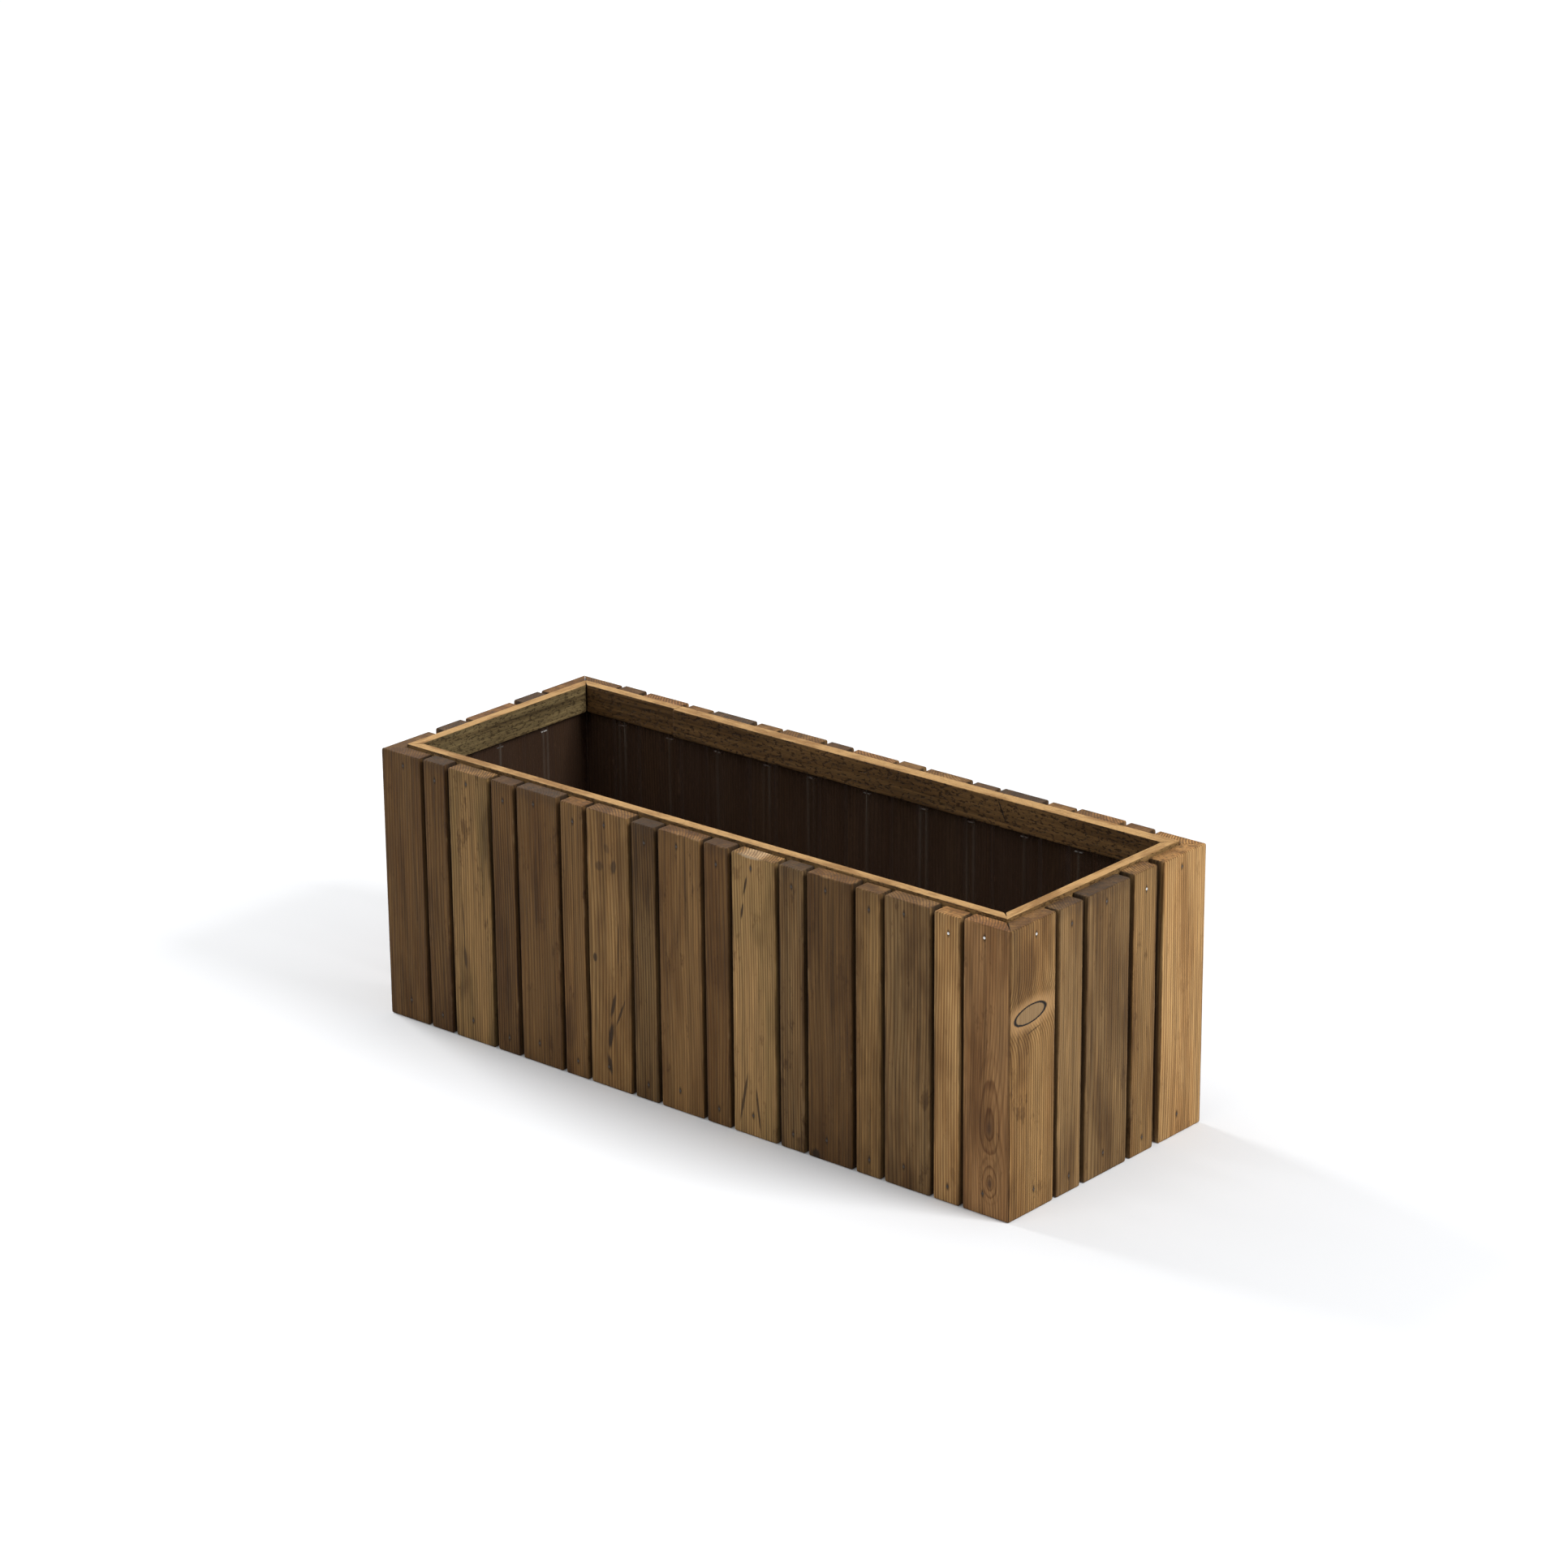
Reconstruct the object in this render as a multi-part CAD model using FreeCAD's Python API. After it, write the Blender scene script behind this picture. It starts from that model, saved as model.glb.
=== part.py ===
import FreeCAD, Part
import math
import os

# Window box planter of sawn softwood, in millimetres, +Z up. The origin is on the floor, under the middle
# of the box. X runs along the box and the front faces -Y. Upright slats, wide and narrow in turn, are
# nailed round a top and a bottom frame of rails. The corner slats and the rails are mitred.

# Overall
planter_length = 800.0
planter_width = 300.0
planter_height = 290.0

# Slats: each wall has so many pairs of a wide and a narrow one, and one more wide one
long_wall_pair_count = 8
end_wall_pair_count = 2
narrow_share = 0.555
slat_thickness = 18.0
slat_gap = 4.6
end_last_gap_extra = 5.0
slat_drop = 2.4
slat_unevenness = 1.6

# Rails
rail_height = 30.0
rail_thickness = 12.0
stout_rail_thickness = 15.0
short_back_rail = 153.0

# Base
base_board_count = 3
base_board_thickness = 15.0
base_board_gap = 5.0
base_clearance = 1.0

# Brad nails
nail_diameter = 1.6
nail_head_diameter = 2.6
nail_head_thickness = 0.8
nail_bite = 7.0
base_nail_bite = 16.0
base_nail_from_rail_face = 2.6

# Where the nails go: shares of the slat's width and of the rail's height
nail_place = {"wide": 0.42, "narrow": 0.5}
top_nail_rise = {"wide": 0.47, "narrow": 0.27}
bottom_nail_rise = {"wide": 0.72, "narrow": 0.55}
nail_scatter = 2.0

# Film liner
film_thickness = 0.5
film_clearance = 0.3
film_below_rail = 3.0
drain_hole_diameter = 10.0
drain_hole_spacing = 150.0

# Staples
staple_width = 9.0
staple_wire = 1.0
staple_bite = 6.0
staple_below_rail = 9.0
staple_spacing = 66.0
staple_margin = 2.0

# Worked out
inner_face = slat_thickness + rail_thickness
base_top = rail_height + base_board_thickness
top_rail_underside = planter_height - rail_height
film_top = top_rail_underside - film_below_rail
golden_share = (math.sqrt(5.0) - 1.0) / 2.0


class Side:
    """One wall of the box. A place on it is given along the wall, anticlockwise seen from above, and
    inward from the outer face of the slats."""

    def __init__(self, name, length, half_depth, quarter_turns, pair_count, last_gap_extra):
        self.name = name
        self.length = length
        self.half_depth = half_depth
        self.quarter_turns = quarter_turns
        self.pair_count = pair_count
        self.last_gap_extra = last_gap_extra

    def point(self, along, inward, height):
        x = along - self.length / 2
        y = inward - self.half_depth
        for _ in range(self.quarter_turns):
            x, y = -y, x
        return FreeCAD.Vector(x, y, height)

    def inward_direction(self):
        return self.point(0, 1, 0) - self.point(0, 0, 0)


front = Side("front", planter_length, planter_width / 2, 0, long_wall_pair_count, 0.0)
right_end = Side("right", planter_width, planter_length / 2, 1, end_wall_pair_count, end_last_gap_extra)
back = Side("back", planter_length, planter_width / 2, 2, long_wall_pair_count, 0.0)
left_end = Side("left", planter_width, planter_length / 2, 3, end_wall_pair_count, end_last_gap_extra)
sides = [front, right_end, back, left_end]


def scatter(number, spread):
    """A small uneven amount from 0 to spread, the same each time for the same piece."""
    return spread * (number * golden_share % 1.0)


def prism(side, corners, bottom, top):
    """A solid over the given corners, each along and inward, from bottom to top."""
    points = [side.point(along, inward, bottom) for along, inward in corners]
    face = Part.Face(Part.makePolygon(points + points[:1]))
    return face.extrude(FreeCAD.Vector(0, 0, top - bottom))


def slat_places(side):
    """The slats of a wall as (kind, start, end). They start and end with a wide one at the corners, and their
    widths share out what the gaps leave of the wall's length."""
    timber = side.length - 2 * side.pair_count * slat_gap - side.last_gap_extra
    wide = timber / (side.pair_count + 1 + side.pair_count * narrow_share)
    widths = {"wide": wide, "narrow": wide * narrow_share}
    kinds = side.pair_count * ["wide", "narrow"] + ["wide"]
    places = []
    start = 0.0
    for kind in kinds[:-1]:
        places.append((kind, start, start + widths[kind]))
        start += widths[kind] + slat_gap
    places.append(("wide", side.length - wide, side.length))
    return places


def slat(side, number, count, start, end):
    """An upright slat of a wall that has count of them. The first and the last are mitred at the corners of
    the box."""
    inner_start = start + slat_thickness if number == 1 else start
    inner_end = end - slat_thickness if number == count else end
    corners = [(start, 0), (end, 0), (inner_end, slat_thickness), (inner_start, slat_thickness)]
    top = planter_height - slat_drop - scatter(number + side.quarter_turns, slat_unevenness)
    return prism(side, corners, 0.0, top)


def nail_along(number, kind, start, end):
    """Where a slat's nails stand along the wall. In a corner slat they keep clear of the mitre."""
    from_edge = nail_place[kind] * (end - start) + scatter(number, nail_scatter)
    return end - from_edge if number == 1 else start + from_edge


def nail(head, direction, length):
    """A brad nail with its head flush at the given point, driven along direction."""
    top = Part.makeCylinder(nail_head_diameter / 2, nail_head_thickness, head, direction)
    shank = Part.makeCylinder(nail_diameter / 2, length, head, direction)
    return top.fuse(shank).removeSplitter()


def slat_nails(side, number, kind, start, end):
    """The two nails of a slat, into the top rail and into the bottom rail."""
    along = nail_along(number, kind, start, end)
    length = slat_thickness + nail_bite
    heights = [
        top_rail_underside + top_nail_rise[kind] * rail_height,
        bottom_nail_rise[kind] * rail_height,
    ]
    return [nail(side.point(along, 0, height), side.inward_direction(), length) for height in heights]


def rail(side, bottom, thickness, before, after):
    """A rail behind the slats of a wall, mitred to rails of thickness before and after it."""
    length = side.length
    inner = slat_thickness + thickness
    corners = [
        (slat_thickness, slat_thickness),
        (length - slat_thickness, slat_thickness),
        (length - slat_thickness - after, inner),
        (slat_thickness + before, inner),
    ]
    return prism(side, corners, bottom, bottom + rail_height)


def back_top_rails():
    """The back top rail is in two lengths that butt: a stout long one and a thinner short one."""
    splice = planter_length - short_back_rail
    long_part = [(0, 0), (splice, 0), (splice, planter_width), (0, planter_width)]
    keep = prism(back, long_part, top_rail_underside, planter_height)
    stout = rail(back, top_rail_underside, stout_rail_thickness, rail_thickness, rail_thickness)
    thin = rail(back, top_rail_underside, rail_thickness, rail_thickness, rail_thickness)
    return stout.common(keep).Solids[0], thin.cut(keep).Solids[0]


def rails():
    """Both frames, as {name: solid}."""
    made = {}
    for side in sides:
        made["bottom_rail_" + side.name] = rail(side, 0.0, rail_thickness, rail_thickness, rail_thickness)
    made["top_rail_front"] = rail(front, top_rail_underside, rail_thickness, rail_thickness, rail_thickness)
    made["top_rail_right"] = rail(
        right_end, top_rail_underside, rail_thickness, rail_thickness, stout_rail_thickness
    )
    made["top_rail_left"] = rail(left_end, top_rail_underside, rail_thickness, rail_thickness, rail_thickness)
    made["top_rail_back_long"], made["top_rail_back_short"] = back_top_rails()
    return made


def base_board_places():
    """The base boards across the width of the box, as (start, end) along an end wall."""
    first = slat_thickness + base_clearance
    gaps = (base_board_count - 1) * base_board_gap
    board = (planter_width - 2 * first - gaps) / base_board_count
    starts = [first + number * (board + base_board_gap) for number in range(base_board_count)]
    return [(start, start + board) for start in starts]


def base_board(start, end):
    """A board along the box, its ends on the bottom rails of the two end walls."""
    near = slat_thickness + base_clearance
    far = planter_length - near
    corners = [(start, near), (end, near), (end, far), (start, far)]
    return prism(right_end, corners, rail_height, base_top)


def base_bearer():
    """The bearer under the middle of the base boards, between the front and back bottom rails."""
    near = planter_length / 2 - rail_thickness / 2
    far = planter_length / 2 + rail_thickness / 2
    corners = [
        (inner_face, near),
        (planter_width - inner_face, near),
        (planter_width - inner_face, far),
        (inner_face, far),
    ]
    return prism(right_end, corners, 0.0, rail_height)


def base_nails():
    """One nail in each board at each end rail and at the bearer, driven down."""
    at_rail = inner_face - base_nail_from_rail_face
    down = FreeCAD.Vector(0, 0, -1)
    length = base_board_thickness + base_nail_bite
    nails = []
    for start, end in base_board_places():
        for inward in (at_rail, planter_length / 2, planter_length - at_rail):
            nails.append(nail(right_end.point((start + end) / 2, inward, base_top), down, length))
    return nails


def box_inside(inset, bottom, top):
    """A block as long and wide as the space inside the slats, less inset on each side."""
    edge = slat_thickness + inset
    near = (edge, edge)
    far = (planter_length - edge, planter_width - edge)
    corners = [near, (far[0], near[1]), far, (near[0], far[1])]
    return prism(front, corners, bottom, top)


def drain_holes():
    """Cutters for the drain holes of the liner, over the gaps between the base boards."""
    count = int((planter_length - 2 * inner_face) / drain_hole_spacing)
    first = (planter_length - (count - 1) * drain_hole_spacing) / 2
    gap_middles = [end + base_board_gap / 2 for _, end in base_board_places()[:-1]]
    cutters = []
    for inward in gap_middles:
        for number in range(count):
            centre = front.point(first + number * drain_hole_spacing, inward, base_top)
            cutters.append(Part.makeCylinder(drain_hole_diameter / 2, film_thickness, centre))
    return cutters


def film_liner():
    """The film: a thin open box, close inside the slats, from the base boards to under the top rails."""
    outside = box_inside(film_clearance, base_top, film_top)
    inside = box_inside(film_clearance + film_thickness, base_top + film_thickness, film_top)
    return outside.cut(inside).cut(Part.makeCompound(drain_holes()))


def staple(side, along):
    """A staple whose crown lies on the film and whose legs go through it into a slat."""
    height = top_rail_underside - staple_below_rail
    film_face = slat_thickness + film_clearance + film_thickness
    low = along - staple_width / 2
    high = along + staple_width / 2
    root = slat_thickness - staple_bite
    corners = [
        (low, root),
        (low + staple_wire, root),
        (low + staple_wire, film_face),
        (high - staple_wire, film_face),
        (high - staple_wire, root),
        (high, root),
        (high, film_face + staple_wire),
        (low, film_face + staple_wire),
    ]
    return prism(side, corners, height - staple_wire / 2, height + staple_wire / 2)


def seated_on_slat(along, places):
    """The place nearest to along where a whole staple is over one slat."""
    reach = staple_width / 2 + staple_margin
    seats = [min(max(along, start + reach), end - reach) for _, start, end in places]
    return min(seats, key=lambda seat: abs(seat - along))


def wall_staples(side):
    """The staples of one wall, about evenly spaced, each seated on a slat."""
    free = side.length - 2 * inner_face
    count = int(free / staple_spacing)
    first = (side.length - (count - 1) * staple_spacing) / 2
    clear = [
        (kind, max(start, inner_face), min(end, side.length - inner_face))
        for kind, start, end in slat_places(side)
    ]
    return [
        staple(side, seated_on_slat(first + number * staple_spacing, clear)) for number in range(count)
    ]


def near_tools(solid, tools):
    """The tools whose boxes meet the solid's box."""
    return [tool for tool in tools if tool.BoundBox.intersect(solid.BoundBox)]


def bored(solid, tools):
    """The solid with room for the nails or staples that are driven into it."""
    near = near_tools(solid, tools)
    return solid.cut(Part.makeCompound(near)).Solids[0] if near else solid


def build():
    """Every piece, as {name: shape}."""
    nails = base_nails()
    staples = []
    wood = rails()
    for side in sides:
        places = slat_places(side)
        for number, (kind, start, end) in enumerate(places, 1):
            name = "%s_slat_%02d" % (side.name, number)
            wood[name] = slat(side, number, len(places), start, end)
            nails += slat_nails(side, number, kind, start, end)
        staples += wall_staples(side)
    for number, (start, end) in enumerate(base_board_places(), 1):
        wood["base_board_%d" % number] = base_board(start, end)
    wood["base_bearer"] = base_bearer()
    pieces = {name: bored(solid, nails + staples) for name, solid in wood.items()}
    pieces["film_liner"] = bored(film_liner(), staples)
    pieces["brad_nails"] = Part.makeCompound(nails)
    pieces["staples"] = Part.makeCompound(staples)
    return pieces


def main():
    os.makedirs("parts", exist_ok=True)
    for name, shape in build().items():
        shape.exportStep("parts/%s.step" % name)
        print(name, len(shape.Solids), round(shape.Volume, 1), shape.isValid())


main()
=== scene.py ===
import math
from collections import namedtuple

import bpy
from mathutils import Matrix, Vector, noise

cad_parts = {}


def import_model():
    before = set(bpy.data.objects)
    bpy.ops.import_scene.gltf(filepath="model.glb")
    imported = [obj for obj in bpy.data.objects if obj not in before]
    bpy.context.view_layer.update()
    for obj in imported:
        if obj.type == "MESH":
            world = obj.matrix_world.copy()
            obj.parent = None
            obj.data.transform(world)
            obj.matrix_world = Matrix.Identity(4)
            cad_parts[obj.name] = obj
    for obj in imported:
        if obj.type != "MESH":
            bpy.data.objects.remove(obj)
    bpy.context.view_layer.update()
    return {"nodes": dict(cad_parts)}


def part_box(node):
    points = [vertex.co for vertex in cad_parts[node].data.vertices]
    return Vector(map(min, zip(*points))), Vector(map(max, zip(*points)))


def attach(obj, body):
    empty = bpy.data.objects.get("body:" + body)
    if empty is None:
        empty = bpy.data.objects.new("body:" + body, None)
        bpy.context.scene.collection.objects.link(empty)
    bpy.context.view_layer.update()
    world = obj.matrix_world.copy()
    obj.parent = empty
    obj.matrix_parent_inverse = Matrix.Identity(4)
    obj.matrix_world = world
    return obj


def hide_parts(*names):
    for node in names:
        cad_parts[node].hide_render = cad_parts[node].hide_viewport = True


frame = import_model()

# ---------------------------------------------------------------- sizes and colours
#
# Sizes are in metres. The box runs along X, its front faces -Y, and Z is up.

UP = Vector((0, 0, 1))
SLAT_THICKNESS = 0.018
RAIL_THICKNESS = 0.012
STOUT_RAIL_THICKNESS = 0.015
LONG_WALL_SLATS = 17
END_WALL_SLATS = 5

# A board's skin lies just inside its solid. Its edges are rounded, with a worn band beside each of them.
SURFACE_SETBACK = 0.00015
EDGE_ROUNDING = 0.0007
WORN_BAND = 0.0016
POINT_SPACING = 0.005

# The outlines near a board's end, how far the end is worn round, and what share of that each outline has
END_LEVELS = (0.0, 0.0006, 0.0017, 0.0040)
SLAT_END_WEAR = 0.0009
RAIL_END_WEAR = 0.0006
END_INSETS = {0: 1.0, 1: 0.36, 2: 0.08}
WORN_END_OUTLINES = 2

# How far the saw wandered at most, along the edges and on the faces. The middle slats of the end walls have
# the widest gaps.
EDGE_WANDER = 0.0005
END_WALL_WANDER = 0.0020
FACE_WANDER = 0.0002
Wave = namedtuple("Wave", "a_metre board_step side_step share")
EDGE_WAVES = (Wave(14, 7.1, 3.3, 0.35), Wave(90, 5.3, 1.7, 0.15))
FACE_WAVES = 60
FACE_WAVES_ALONG = 25

# Painted shade on a slat's sides and back starts so far behind its face, is full so much further in, and is
# so strong
GAP_UNSHADED = 0.0012
GAP_FADE = 0.004
GAP_SHADE = 0.85

# The film's columns and rows of points, its slack, its wavy top edge, and the pleat below each staple
FILM_STEP = 0.0015
FILM_ROW = 0.007
FILM_OFFSET = 0.0004
FILM_SLACK = 0.0006
SLACK_WAVES = 17
SLACK_WAVES_DOWN = 9
SLACK_WALL_STEP = 4.0
FILM_CORNER = 0.012
TOP_WAVE = 0.0009
TOP_WAVES = 30
TOP_WALL_STEP = 9.0
TOP_WAVE_PLACE = 2.0
FILM_FLOOR_GAP = 0.0003
FILM_HEIGHT_LOSS = 0.0015
PLEAT_DEPTH = 0.0016
PLEAT_HALF_WIDTH = 0.0010
PLEAT_WIDENING = 3
PLEAT_LENGTH = 0.13

# How near to each other the points of one staple are, how near a staple is to its wall, and how near the
# points of a nail's head are to the slats' outside
STAPLE_CELL = 0.02
STAPLE_REACH = 0.01
NAIL_HEAD_REACH = 0.0002

# The stains that the boards have taken, from dark to light
STAINS = {
    "umber": (0.142, 0.075, 0.025),
    "olive": (0.165, 0.097, 0.036),
    "walnut": (0.198, 0.108, 0.038),
    "grey": (0.215, 0.129, 0.052),
    "green": (0.210, 0.150, 0.066),
    "tan": (0.278, 0.162, 0.060),
    "russet": (0.305, 0.163, 0.064),
    "honey": (0.345, 0.204, 0.080),
    "blond": (0.468, 0.280, 0.112),
}
FRONT_STAINS = (
    "umber umber tan umber umber walnut tan olive walnut umber honey grey umber tan grey blond russet"
)
RIGHT_STAINS = "tan grey grey tan blond"
BACK_STAINS = (
    "honey walnut russet tan umber walnut grey tan russet umber walnut tan olive walnut russet umber walnut"
)
LEFT_STAINS = "walnut umber russet walnut olive"

# How much dark has soaked into the tops of the slats that have it, by the slats' numbers
FRONT_DARK_TOPS = {2: 0.95, 4: 0.6, 5: 0.9, 8: 0.95, 10: 0.7, 12: 0.9}
RIGHT_DARK_TOPS = {2: 0.7, 3: 0.95}
BACK_DARK_TOPS = {5: 0.95, 6: 0.8, 10: 0.6, 13: 0.9}
LEFT_DARK_TOPS = {2: 0.8, 4: 0.9}

# The second stain of a slat is a darker one, redder on most of them and more olive on one in eight
REDDER = Vector((1.06, 0.97, 0.88))
MORE_OLIVE = Vector((0.97, 1.02, 0.98))
OLIVE_EVERY = 8
OLIVE_FIRST = 3

# How the boards differ from each other: a step from board to board, and two values that all lie between
BOARD_RANGES = {
    "heart_across": (1, 0.035, 0.10),
    "heart_behind": (3, 0.03, 0.07),
    "stain": (5, 0.94, 1.12),
    "second_stain": (11, 0.56, 0.76),
    "blotches": (7, 0.25, 0.85),
    "contrast": (2, 0.45, 0.90),
    "soak": (3, 0.05, 0.35),
    "rail_heart_behind": (1, -0.02, 0.02),
}
GOLDEN_SHARE = 0.6180339887

# What all the rails and base boards have in common
RAIL_HEART_ACROSS = 0.055
RAIL_SECOND_STAIN = 0.78
RAIL_BLOTCHES = 0.35
RAIL_CONTRAST = 0.45
RAIL_SOAK = 0.2

# The layers of the wood's figure: features a metre across the face, through the board and along the grain,
# then detail and roughness
FIGURE = {
    "sway": ((7, 7, 3), 1.0, 0.5),
    "patches": ((24, 24, 7), 3.0, 0.62),
    "clouds": ((45, 45, 6), 3.0, 0.6),
    "worn": ((60, 60, 16), 3.0, 0.65),
    "smudges": ((65, 65, 24), 4.0, 0.74),
    "rubbed": ((70, 70, 30), 2.0, 0.6),
    "end_speckles": ((150, 150, 150), 3.0, 0.65),
    "streaks": ((180, 180, 4), 3.0, 0.62),
    "pits": ((330, 330, 170), 2.0, 0.7),
    "lines": ((400, 400, 7), 3.0, 0.65),
    "fibres": ((1000, 1000, 16), 3.0, 0.7),
}

# How far the figure moves on from board to board, and the rings: their spacing and how far they sway
FIGURE_SHIFT = (1.0, 1.7, 0.31)
FIGURE_STEP = 1.37
RING_SPACING = 0.0028
RING_SWAY = (0.011, 0.016, 0.0)

# The relief: what the fibres, the rings, the pits and the scars count for in it, and how high it stands
FIBRE_HEIGHT = 0.9
RING_HEIGHT = 0.45
PIT_HEIGHT = 1.6
SCAR_HEIGHT = 0.7
WOOD_BUMP = 0.00045
WOOD_BUMP_STRENGTH = 0.9
WOOD_GLOSS = 0.16

# How ragged the outlines of the marks are, and how many shells an eye has in its half width
HALO_RAGGED = 0.9
RIM_RAGGED = 0.12
EYE_RAGGED = 1.0
EYE_HEART_RAGGED = 0.4
SCAR_RAGGED = 1.1
CHIP_RAGGED = 1.3
RIM_PLACE = 0.97
EYE_SHELLS = 1.4

# The stain round a nail: its sizes a metre, across the grain and along it
NAIL_STAIN_ACROSS = 560.0
NAIL_STAIN_ALONG = 230.0
NAIL_STAIN_RAGGED = 0.7

# How far the streaks lead the dark down from a slat's top, and how much the rings show on the clean tops
# and on the sawn ends
RUN_LENGTH = -0.020
TOP_RINGS = 0.35
END_RINGS = 0.6

# What a value is turned into as it goes from a first number to a second one: from 0 to 1, or from the third
# number to the fourth
RANGES = {
    "ring_darkens": (0.30, 0.84),
    "ring_ends": (0.88, 1.0, 1.0, 0.0),
    "second_stain": (0.35, 0.65),
    "fibre_tone": (0.3, 0.7, 0.76, 1.20),
    "line_tone": (0.32, 0.68, 0.80, 1.17),
    "streaks": (0.53, 0.68, 0.0, 0.55),
    "patches": (0.50, 0.68),
    "smudges": (0.56, 0.68),
    "gap_shade": (0.3, 0.6, 0.8, 1.0),
    "dirty_edge": (0.60, 0.40, 0.0, 0.42),
    "rubbed_edge": (0.60, 0.74, 0.0, 0.35),
    "nail_stain": (0.7, 1.7, 0.82, 0.0),
    "run": (-0.006, 0.005, 0.3, 0.0),
    "end_speckles": (0.50, 0.68, 0.0, 0.6),
    "end_soak": (0.66, 0.40, 0.35, 0.97),
    "pits": (0.53, 0.61),
    "worn_top": (0.42, 0.62, 0.0, 0.85),
    "faces_up": (0.72, 0.88),
    "wood_roughness": (0.2, 0.8, 0.64, 0.88),
    "knot_fleck": (0.35, 0.65, 0.0, 0.5),
    "in_knot": (0.92, 1.0, 1.0, 0.0),
    "on_rim": (0.04, 0.13, 1.0, 0.0),
    "shell_darkens": (0.45, 0.85),
    "shell_ends": (0.88, 1.0, 1.0, 0.0),
    "shells_fade": (1.2, 2.4, 0.75, 0.0),
    "eye_heart": (0.15, 0.60, 0.80, 0.0),
    "film_dust": (0.5, 0.8, 0.0, 0.5),
    "film_pleat_highlight": (0.35, 0.6, 0.35, 0.9),
    "film_roughness": (0.3, 0.7, 0.28, 0.46),
    "scratches": (0.5, 0.8, 0.0, 0.4),
    "steel_roughness": (0.2, 0.8, 0.22, 0.48),
    "floor_glow": (0.9, 2.4, 0.04, 0.75),
}

# Where scars and chips fade out, from a mark's middle to its rim, and how strong a knot's pale halo is
MARK_EDGE = (0.55, 1.05)
HALO_SHARE = 0.60

# What a share of the colour is multiplied by
TINTS = {
    "late_wood": (0.44, 0.36, 0.30),
    "streaks": (0.42, 0.40, 0.36),
    "blotches": (0.44, 0.39, 0.34),
    "pits": (0.30, 0.26, 0.22),
    "shells": (0.42, 0.34, 0.28),
    "worn_top": (0.50, 0.42, 0.33),
    "dirty_edge": (0.30, 0.26, 0.24),
    "end_grain": (1.35, 1.22, 1.05),
}

# What is mixed in as it is
COLOURS = {
    # The dark brown painted as shade on the slats' sides in the gaps and on their backs
    "gap_shade": (0.016, 0.010, 0.006),
    "rubbed_edge": (0.34, 0.215, 0.105),
    "nail_stain": (0.020, 0.013, 0.008),
    "run": (0.034, 0.021, 0.013),
    "end_rings": (0.085, 0.045, 0.020),
    "end_speckles": (0.050, 0.029, 0.015),
    "end_soak": (0.040, 0.026, 0.016),
    "top_rings": (0.30, 0.165, 0.070),
    "knot": (0.26, 0.165, 0.078),
    "knot_halo": (0.42, 0.245, 0.105),
    "knot_fleck": (0.15, 0.088, 0.042),
    "knot_rim": (0.010, 0.008, 0.007),
    "eye_heart": (0.060, 0.030, 0.015),
    "scar": (0.026, 0.015, 0.008),
    "chip": (0.50, 0.38, 0.25),
    "film": (0.066, 0.036, 0.022),
    "film_dust": (0.100, 0.060, 0.040),
    # The pale colour painted on the film's pleats as their highlight
    "film_pleat_highlight": (0.19, 0.16, 0.13),
    "bright_nail": (0.62, 0.61, 0.59),
    "dull_nail": (0.040, 0.028, 0.020),
    "bright_staple": (0.80, 0.80, 0.80),
    "dull_staple": (0.50, 0.49, 0.47),
    "scratches": (0.12, 0.09, 0.07),
    "floor": (0.76, 0.77, 0.785),
    "white": (1.0, 1.0, 1.0),
}

# The film: creases and specks of dust a metre, and how much of what is behind it the film covers
FILM_CREASES = (70, 70, 7)
FILM_DUST = (420, 420, 160)
FILM_COVER = 0.60
FILM_BUMP = 0.0012
FILM_BUMP_STRENGTH = 0.7
FILM_GLOSS = 0.42

# The steel: patches a metre that are bright or dull, scratches a metre, and how much rougher the dull is.
# Nails are bright only at the top of the right part of the box.
STEEL_PATCHES = (23, 23, 23)
STEEL_SCRATCHES = (2600, 2600, 2600)
STEEL_BUMP = 0.00008
STEEL_BUMP_STRENGTH = 0.6
DULL_BLEND = 0.02
DULL_ROUGHNESS = 0.4
NAIL_BRIGHT_SHARE = 0.50
STAPLE_BRIGHT_SHARE = 0.60
BRIGHT_NAILS_FROM = Vector((0.21, 0.0, 0.2))

# The camera stands where the photograph was taken from
CAMERA_PLACE = (2.7530, -3.1906, 1.7965)
CAMERA_TURN = math.radians(40.75)
CAMERA_DOWN = math.radians(19.59)
CAMERA_ROLL = math.radians(-0.50)
CAMERA_LENS = 105.64
CAMERA_SENSOR = 36.0
CAMERA_REACH = 100.0

# Each lamp's place, the height it aims at over the origin, its width and depth, and its watts
LAMPS = {
    "right_light": ((3.1, 0.5, 2.7), 0.1, (1.3, 1.3), 135.0),
    "left_light": ((-3.4, 0.1, 2.1), 0.1, (1.6, 1.6), 135.0),
    "front_light": ((-0.4, -3.4, 3.0), 0.1, (2.6, 2.0), 34.0),
    "top_light": ((0.2, 0.3, 3.6), 0.2, (2.4, 2.4), 12.0),
}

# The world's light on the object, where a white background has 1, and the floor just below the box
WORLD_LIGHT = 0.31
FLOOR_SIZE = 60.0
FLOOR_CLEARANCE = 0.0004


# ---------------------------------------------------------------- node graphs


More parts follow.
